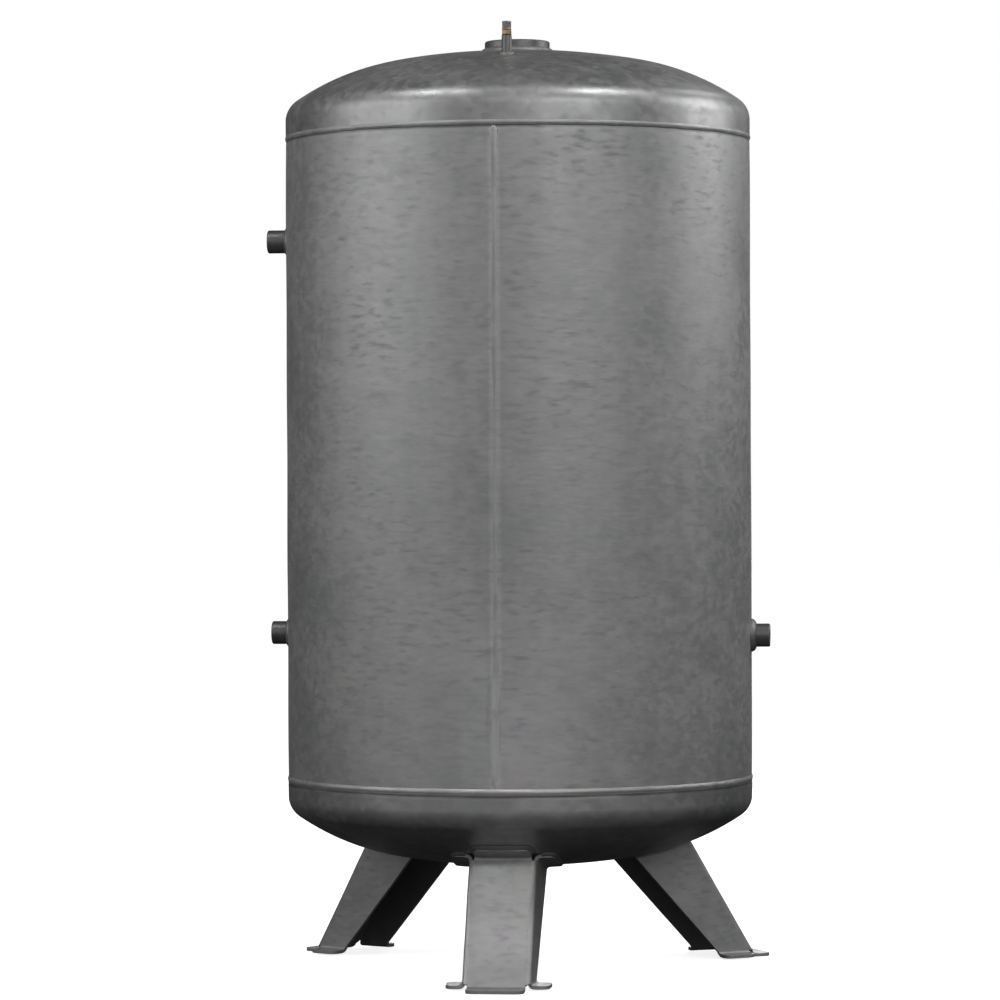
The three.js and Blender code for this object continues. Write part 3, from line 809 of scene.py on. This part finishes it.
def fold_and_tab(corner, wall, tab_point, reach):
    """A fold from the wall into a tab, then the tab to its full reach.
    tab_point gives the point at a distance from the corner along the tab."""
    start = corner + wall * FOLD
    end = tab_point(FOLD)
    points = []
    for k in range(1, FOLD_STEPS + 1):
        t = k / FOLD_STEPS
        points.append(start.lerp(corner, t).lerp(corner.lerp(end, t), t))
    for k in range(1, TAB_STEPS + 1):
        points.append(tab_point(lerp(FOLD, reach, k / TAB_STEPS)))
    return points


def meet_head(at):
    """The height at which a wall column meets the layer where its top tab lies."""
    z = APEX_LOW + 30 * MM
    for _ in range(12):
        z = under_head(at(z).x, at(z).y, FIT + LEG_SHEET)
    return z


def leg_column(side, u):
    """One column of the outer face, from foot to top, as (foot tab, wall, top tab).
    side is -1 or 1 for a flange with u from its free edge, or 0 for the web with u across it."""
    def web_y(z):
        return -WEB_FOOT + WEB_LEAN * z

    if side:
        def y_at(z):
            return lerp(-EDGE_FOOT + EDGE_LEAN * z, web_y(z) + LEG_BEND, u)

        def x_at(z):
            return side * (LEG_HALF + FLANGE_SPREAD * (y_at(z) - web_y(z) - LEG_BEND))
    else:
        y_at = web_y

        def x_at(z):
            return lerp(-LEG_HALF + LEG_BEND, LEG_HALF - LEG_BEND, u)

    def at(z):
        return Vector((x_at(z), y_at(z), z))

    foot = at(LEG_SHEET + (SIDE_LIFT if side else 0))
    high = meet_head(at)
    top = at(high)
    up = (at(0.1) - at(0)).normalized()
    if side:
        def from_edge(y, z):
            """How far a place on the flange is from the nearer of its two long edges."""
            front = web_y(z) + LEG_BEND
            back = -EDGE_FOOT + EDGE_LEAN * z
            return min(abs(y - front), abs(back - y))

        reach_foot = tab_reach(SIDE_FOOT_REACH, from_edge(foot.y, foot.z))
        reach_top = tab_reach(SIDE_TOP_REACH, from_edge(top.y, high))

        def foot_point(distance):
            return foot + Vector((side * distance, 0, 0))

        def top_point(distance):
            px = top.x + side * distance
            return Vector((px, top.y, under_head(px, top.y, FIT + LEG_SHEET)))
    else:
        edge = min(u, 1 - u) * 2 * (LEG_HALF - LEG_BEND)
        reach_foot = tab_reach(FOOT_TIP + foot.y, edge)
        reach_top = tab_reach(TOP_TAB_TIP + top.y, edge)

        def foot_point(distance):
            return foot - Vector((0, distance, 0))

        def top_point(distance):
            py = top.y - distance
            return Vector((top.x, py, under_head(top.x, py, FIT + LEG_SHEET)))

    foot_tab = fold_and_tab(foot, up, foot_point, reach_foot)
    top_tab = fold_and_tab(top, -up, top_point, reach_top)
    low_end = foot + up * FOLD
    high_end = top - up * FOLD
    wall = [low_end.lerp(high_end, k / WALL_STEPS) for k in range(WALL_STEPS + 1)]
    return foot_tab, wall, top_tab


def eased(count):
    """Numbers from 0 to 1 that lie closer together towards both ends."""
    return [lerp(k / count, (1 - math.cos(math.pi * k / count)) / 2, 0.75) for k in range(count + 1)]


def leg_columns():
    """All the columns from the left flange's free edge to the right's. A bend column has no tabs."""
    left = [leg_column(-1, u) for u in eased(FLANGE_COLUMNS)]
    web = [leg_column(0, u) for u in eased(WEB_COLUMNS)]
    right = [leg_column(1, u) for u in eased(FLANGE_COLUMNS)][::-1]

    def bend(before, after, side):
        columns = []
        for k in range(1, BEND_STEPS):
            t = k / BEND_STEPS
            a = math.pi / 2 * k / BEND_STEPS
            # Across the bend, x and y follow a quarter circle.
            across, along = math.sin(a), 1 - math.cos(a)
            if side < 0:
                across, along = along, across
            wall = []
            for p, q in zip(before[1], after[1]):
                wall.append(Vector((lerp(p.x, q.x, across), lerp(p.y, q.y, along), lerp(p.z, q.z, t))))
            columns.append((None, wall, None))
        return columns

    return left + bend(left[-1], web[0], -1) + web + bend(web[-1], right[0], 1) + right


def leg_sheet(name):
    """The outer face as a grid, thickened inwards, with its cut edges rounded."""
    vertices = []
    faces = []
    previous = None
    for foot_tab, wall, top_tab in leg_columns():
        column = (foot_tab[::-1] if foot_tab else []) + wall + (top_tab or [])
        start = len(vertices)
        first = len(foot_tab) if foot_tab else 0
        vertices += column
        # Rows are counted from the wall's lowest point, so that tabs have rows below 0.
        rows = {row - first: start + row for row in range(len(column))}
        if previous:
            for row in rows:
                quad = [previous.get(row), previous.get(row + 1), rows.get(row + 1), rows[row]]
                if None not in quad:
                    faces.append(tuple(quad))
        previous = rows
    made = piece(name, vertices, faces, LEG_ZINC)
    # One face near the web's foot tells whether the faces look outwards.
    centre = sum((v.co for v in made.data.vertices), Vector()) / len(made.data.vertices)
    web_foot = Vector((0, -WEB_FOOT, 60 * MM))
    sample = min(made.data.polygons, key=lambda p: (p.center - web_foot).length)
    if sample.normal.dot(centre - sample.center) > 0:
        made.data.flip_normals()
    thick = made.modifiers.new("sheet", "SOLIDIFY")
    thick.thickness = LEG_SHEET
    thick.offset = -1
    thick.use_even_offset = True
    # The inner faces take the darker zinc that paints shade inside the channel.
    made.data.materials.append(LEG_PAINTED_SHADE)
    thick.material_offset = 1
    edges = made.modifiers.new("edges", "BEVEL")
    edges.width = 1.1 * MM
    edges.segments = 2
    edges.angle_limit = math.radians(50)
    return made


def tab_bead_path():
    """The outlines of the three top tabs, as lists of points along their edges, from end to end."""
    groups = []
    run = []
    for _, _, top_tab in leg_columns():
        if top_tab:
            run.append(top_tab)
        elif run:
            groups.append(run)
            run = []
    groups.append(run)
    paths = []
    for run in groups:
        sides = run[0][FOLD_STEPS:], [tab[-1] for tab in run[1:-1]], run[-1][FOLD_STEPS:][::-1]
        paths.append([point for side in sides for point in side])
    return paths


def resampled(points, spacing):
    """The same path with points at an even spacing."""
    total = sum((b - a).length for a, b in zip(points, points[1:]))
    count = max(4, round(total / spacing))
    made = [points[0].copy()]
    wanted = total / count
    travelled = 0.0
    for a, b in zip(points, points[1:]):
        length = (b - a).length
        while length > 0 and travelled + length >= wanted * len(made) - 1e-9 and len(made) < count:
            made.append(a.lerp(b, (wanted * len(made) - travelled) / length))
        travelled += length
    made.append(points[-1].copy())
    return made


# The bead's toe lies this far outside the tab's edge, and its root this far inside it.
TOE_REACH = 5.2 * MM
ROOT_DEPTH = 0.6 * MM


def leg_bead(name):
    """Fillet welds along the edges of a leg's top tabs, joined in one piece."""
    parts = []
    for path in tab_bead_path():
        points = resampled(path, 1.2 * MM)
        inside = sum(points, Vector()) / len(points)
        sections = []
        for i, point in enumerate(points):
            along = points[min(i + 3, len(points) - 1)] - points[max(i - 3, 0)]
            out = Vector((along.y, -along.x, 0)).normalized()
            if out.dot(point - inside) < 0:
                out = -out
            near = point - out * ROOT_DEPTH
            far = point + out * TOE_REACH
            root = Vector((near.x, near.y, under_head(near.x, near.y, FIT)))
            toe = Vector((far.x, far.y, under_head(far.x, far.y, FIT)))
            sections.append((toe, root - Vector((0, 0, LEG_SHEET - 0.8 * MM)), root))
        run = bead(f"{name}_run", sections, 1.0 * MM, closed=False, seed=21.0, material=FILLET_WELD)
        parts.append(run)
    whole = bmesh.new()
    for part in parts:
        whole.from_mesh(part.data)
        bpy.data.objects.remove(part)
    mesh = bpy.data.meshes.new(name)
    whole.to_mesh(mesh)
    whole.free()
    mesh.materials.append(FILLET_WELD)
    made = bpy.data.objects.new(name, mesh)
    bpy.context.scene.collection.objects.link(made)
    return made


def build_legs():
    low = CAD_BOUNDS[0]
    for name, degrees in LEG_TURNS.items():
        turn = Matrix.Rotation(math.radians(degrees), 4, "Z")
        sheet = leg_sheet(f"{name}_leg_sheet")
        sheet.data.transform(turn)
        uneven(sheet, amount=0.5 * MM, size=60 * MM)
        # The unevenness may not take a foot under the floor, or past the front of the CAD model.
        for vertex in sheet.data.vertices:
            vertex.co.y = max(vertex.co.y, low[1] + 0.1 * MM)
            vertex.co.z = max(vertex.co.z, LEG_SHEET + 0.1 * MM)
        settle(crisp(sheet), f"{name}_leg")
        weld = leg_bead(f"{name}_leg_bead")
        weld.data.transform(turn)
        settle(weld, f"{name}_leg_weld")


# ---- Air valve ----


def at_valve(made):
    made.data.transform(Matrix.Translation((VALVE.x, VALVE.y, 0)))
    return made


def hexagon(across_flats, angle):
    """A hexagon's radius at an angle."""
    sixth = TURN / 6
    return across_flats / 2 / math.cos((angle + sixth / 2) % sixth - sixth / 2)


def build_nipple():
    low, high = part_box("valve_nipple")
    radius = (high.x - low.x) / 2
    bore = 6.25 * MM
    outline = rounded([
        (bore, low.z, 0.4 * MM),
        (radius, low.z, 0.4 * MM),
        (radius, high.z, 0.7 * MM),
        (bore, high.z, 0.5 * MM),
    ])
    nipple = at_valve(crisp(lathe("valve_nipple_pipe", outline, 64, FITTING_ZINC)))
    settle(nipple, "valve_nipple")
    place = (VALVE.x, VALVE.y)
    fillet = 4.2 * MM
    crown_fillet(
        "valve_nipple_fillet", "valve_nipple_weld", place, radius, fillet, 1, APEX_HIGH, 31.0, 0.8 * MM)


def build_valve_body():
    """Male pipe thread, hexagon and threaded stem in one turned piece, with the core's bore."""
    body_low, body_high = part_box("valve_body")
    washer_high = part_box("valve_washer")[1].z
    cap_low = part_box("valve_cap")[0].z
    hex_low = washer_high + FIT
    hex_high = cap_low - 0.4 * MM
    flats = min(body_high.x - body_low.x, body_high.y - body_low.y)
    stem = 3.85 * MM
    bore = 2.9 * MM
    airway = 3.5 * MM
    bore_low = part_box("valve_core")[0].z - 4 * MM
    chamfer = 0.9 * MM

    def outline(angle):
        corner = flats / math.sqrt(3)
        points = [(airway, body_low.z)]
        points += thread_points(angle, body_low.z, hex_low - 0.4 * MM, 5.85 * MM, 5.3 * MM, 1.337 * MM)
        points.append((5.2 * MM, hex_low))
        for rise, limit in ((0, corner - chamfer), (0.35 * chamfer, corner)):
            points.append((min(hexagon(flats, angle), limit), hex_low + rise))
        for drop, limit in ((0.35 * chamfer, corner), (0, corner - chamfer)):
            points.append((min(hexagon(flats, angle), limit), hex_high - drop))
        points.append((stem, hex_high))
        points += thread_points(
            angle, hex_high + 0.2 * MM, body_high.z - 0.3 * MM, stem, stem - 0.42 * MM, 0.794 * MM)
        points += [(stem - 0.3 * MM, body_high.z), (bore, body_high.z)]
        points += [(bore, bore_low), (airway, bore_low - 0.5 * MM)]
        return points

    body = at_valve(lathe("valve_hexagon_body", outline, 96, BRASS))
    settle(crisp(sharp_edged(body)), "valve_body")


def build_washer():
    low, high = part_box("valve_washer")
    radius = (high.x - low.x) / 2
    hole = 6.2 * MM
    edge = 0.4 * MM
    outline = rounded([
        (hole, low.z, edge), (radius, low.z, edge), (radius, high.z, edge), (hole, high.z, edge),
    ])
    settle(at_valve(lathe("valve_washer_ring", outline, 64, RUBBER)), "valve_washer")


def build_cap():
    """A cap with a diamond knurl, a plain band at its mouth and a rounded roof."""
    low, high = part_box("valve_cap")
    radius = (high.x - low.x) / 2
    cavity = 4.25 * MM
    roof = high.z - 2 * MM
    band = low.z + 2.2 * MM
    shoulder = high.z - 2.6 * MM
    edge = 1.5 * MM
    knurls = 36
    rows = 30

    def outline(angle):
        points = [(cavity, low.z + 0.3 * MM), (cavity + 0.3 * MM, low.z), (radius - 0.4 * MM, low.z)]
        points += [(radius, low.z + 0.4 * MM), (radius, band - 0.5 * MM), (radius - 0.35 * MM, band)]
        for k in range(rows + 1):
            z = lerp(band, shoulder, k / rows)
            turn = angle / TURN * knurls
            climb = (z - band) / (1.35 * MM)
            cut = max(waves(turn + climb), waves(turn - climb))
            ends = smooth(k / 3) * smooth((rows - k) / 3)
            points.append((radius - lerp(0.35, 0.55 * cut, ends) * MM, z))
        points += [(radius - 0.35 * MM, shoulder + 0.2 * MM), (radius, shoulder + 0.5 * MM)]
        for k in range(7):
            a = math.pi / 2 * k / 6
            points.append((radius - edge * (1 - math.cos(a)), high.z - edge * (1 - math.sin(a))))
        points += [(0, high.z), (0, roof), (cavity, roof)]
        return points

    cap = at_valve(lathe("valve_cap_knurled", outline, 288, NICKEL))
    settle(sharp_edged(cap, 55), "valve_cap", "cap")


def build_pin():
    """A poppet below, a thin stem, and a collar for the spring to push up."""
    low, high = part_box("valve_pin")
    poppet = (high.x - low.x) / 2
    stem = 0.65 * MM
    collar = 1.45 * MM
    collar_high = 1597.2 * MM
    collar_low = collar_high - 1 * MM
    poppet_high = low.z + 1.2 * MM
    outline = rounded([
        (0, low.z, 0), (poppet, low.z, 0.25 * MM), (poppet, poppet_high, 0.2 * MM),
        (stem, poppet_high, 0.1 * MM), (stem, collar_low, 0.1 * MM),
        (collar, collar_low, 0.2 * MM), (collar, collar_high, 0.2 * MM),
        (stem, collar_high, 0.1 * MM), (stem, high.z, 0.3 * MM), (0, high.z, 0),
    ])
    settle(at_valve(lathe("valve_pin_turned", outline, 48, NICKEL)), "valve_pin", "pin")


def build_spring():
    """A coil of round wire whose end turns lie flat, between the core's floor and the collar."""
    low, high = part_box("valve_spring")
    wire = 0.2 * MM
    radius = 1.18 * MM
    turns = 8
    steps = 40 * turns
    rings = []
    for i in range(steps + 1):
        t = i / steps
        angle = TURN * turns * t
        height = lerp(low.z + wire, high.z - wire, lerp(t, smooth(t), 0.5))
        out = Vector((math.cos(angle), math.sin(angle), 0))
        ring = []
        for k in range(10):
            a = TURN * k / 10
            ring.append(out * (radius + wire * math.cos(a)) + Vector((0, 0, height + wire * math.sin(a))))
        rings.append(ring)
    spring = at_valve(loft("valve_spring_coil", rings, SPRING_STEEL))
    settle(spring, "valve_spring")
    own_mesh(spring)


def dress_small_parts():
    """The small inner pieces keep their CAD shapes and get their own materials."""
    looks = {
        "valve_core": BRASS,
        "valve_core_seal": RUBBER,
        "valve_pin_seal": RUBBER,
        "valve_cap_gasket": RUBBER,
    }
    for name, material in looks.items():
        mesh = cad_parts[name].data
        mesh.materials.clear()
        mesh.materials.append(material)


# ---- Room, lights and camera ----


def area_light(name, place, aim, width, height, power, spread=180):
    """A lamp turned towards its aim. Its size is in metres, its power in watts, its spread in degrees."""
    data = bpy.data.lights.new(name, "AREA")
    data.shape = "RECTANGLE"
    data.size = width
    data.size_y = height
    data.energy = power
    data.spread = math.radians(spread)
    light = bpy.data.objects.new(name, data)
    light.location = place
    light.rotation_euler = (Vector(aim) - Vector(place)).to_track_quat("-Z", "Y").to_euler()
    bpy.context.scene.collection.objects.link(light)


def around(azimuth, distance, height):
    """A place at an azimuth from the front, positive towards +X."""
    a = math.radians(azimuth)
    return (distance * math.sin(a), -distance * math.cos(a), height)


FLOOR_REACH = 30
FLOOR_DROP = 0.2 * MM


def build_room():
    """The floor, the world and the lamps. The floor throws no light back on to the object."""
    signs = ((-1, -1), (1, -1), (1, 1), (-1, 1))
    corners = [(x * FLOOR_REACH, y * FLOOR_REACH, -FLOOR_DROP) for x, y in signs]
    floor = piece("floor", corners, [(0, 1, 2, 3)], pale_floor("pale_floor"))
    build_world()
    floor.visible_diffuse = False
    floor.visible_glossy = False
    area_light("left_softbox", around(-60, 2.8, 1.85), (0, 0, 1.15), 2.7, 1.7, 22)
    area_light("right_softbox", around(106, 2.7, 2.2), (0, 0, 1.2), 1.7, 1.6, 29)
    area_light("front_fill", around(30, 5.0, 2.6), (0, 0, 1.1), 4.2, 2.0, 56)
    area_light("high_left_lamp", around(-50, 2.0, 4.2), (0, 0, 1.2), 1.0, 0.7, 25)
    area_light("high_right_lamp", around(60, 2.0, 4.2), (0, 0, 1.2), 0.8, 0.7, 30)
    area_light("far_right_lamp", around(140, 2.4, 3.3), (0, 0, 1.4), 0.8, 0.6, 6)
    area_light("back_fill", around(180, 4.5, 0.8), (0, 0, 0.8), 1.6, 1.2, 30)
    area_light("leg_lamp", around(6, 3.8, 3.1), (0, -0.28, 0.24), 0.3, 0.3, 0.072, 5)


def build_world():
    """The camera sees white. The object is lit by a soft sky, bright above and in front of it."""
    world = bpy.data.worlds.new("studio")
    bpy.context.scene.world = world
    world.use_nodes = True
    nodes = world.node_tree.nodes
    links = world.node_tree.links
    seen = nodes["Background"]
    seen.inputs["Color"].default_value = (1, 1, 1, 1)
    seen.inputs["Strength"].default_value = 1.0
    lit = nodes.new("ShaderNodeBackground")
    aim = nodes.new("ShaderNodeSeparateXYZ")
    links.new(nodes.new("ShaderNodeTexCoord").outputs["Generated"], aim.inputs["Vector"])

    def graded(axis, low, high, out_low, out_high):
        node = nodes.new("ShaderNodeMapRange")
        node.interpolation_type = "SMOOTHSTEP"
        for name, value in zip(RANGE_SOCKETS, (low, high, out_low, out_high)):
            node.inputs[name].default_value = value
        links.new(aim.outputs[axis], node.inputs["Value"])
        return node.outputs["Result"]

    level = nodes.new("ShaderNodeMath")
    level.operation = "MULTIPLY"
    links.new(graded("Z", -0.5, 0.5, 0.06, 0.40), level.inputs[0])
    links.new(graded("Y", -0.8, 0.7, 1.35, 0.20), level.inputs[1])
    links.new(level.outputs["Value"], lit.inputs["Strength"])
    ray = nodes.new("ShaderNodeLightPath")
    mix = nodes.new("ShaderNodeMixShader")
    links.new(ray.outputs["Is Camera Ray"], mix.inputs["Fac"])
    links.new(lit.outputs["Background"], mix.inputs[1])
    links.new(seen.outputs["Background"], mix.inputs[2])
    links.new(mix.outputs["Shader"], nodes["World Output"].inputs["Surface"])


# The camera's place in metres and its yaw, pitch and roll in degrees, before it is turned
# round the vessel's axis by CAMERA_TURN degrees. The lens is in millimetres.
LENS = 163.4
CAMERA_PLACE = (0, -7.8365, 0.843)
CAMERA_ANGLES = (-0.2422, 0.2947, -0.2458)
CAMERA_TURN = 5.7


def build_camera():
    """The camera looks almost level, from the front and a little to the right."""
    data = bpy.data.cameras.new("camera")
    data.sensor_width = 36
    data.lens = LENS
    camera = bpy.data.objects.new("camera", data)
    yaw, pitch, roll = (math.radians(angle) for angle in CAMERA_ANGLES)
    ahead = Vector((math.sin(yaw) * math.cos(pitch), math.cos(yaw) * math.cos(pitch), -math.sin(pitch)))
    level = Vector((math.cos(yaw), -math.sin(yaw), 0))
    up = level.cross(ahead)
    right = level * math.cos(roll) + up * math.sin(roll)
    up = up * math.cos(roll) - level * math.sin(roll)
    looking = Matrix((right, up, -ahead)).transposed().to_4x4()
    placed = Matrix.Translation(CAMERA_PLACE) @ looking
    camera.matrix_world = Matrix.Rotation(math.radians(CAMERA_TURN), 4, "Z") @ placed
    bpy.context.scene.collection.objects.link(camera)
    bpy.context.scene.camera = camera
    bpy.context.scene.view_settings.view_transform = "Standard"


build_camera()
build_room()
build_shell()
build_heads()
girth_bead("top_girth_bead", "top_girth_weld", SEAM_HIGH, 1.0)
girth_bead("bottom_girth_bead", "bottom_girth_weld", SEAM_LOW, 2.0)
long_bead()
build_boss()
build_sockets()
build_legs()
build_nipple()
build_valve_body()
build_washer()
build_cap()
build_pin()
build_spring()
dress_small_parts()
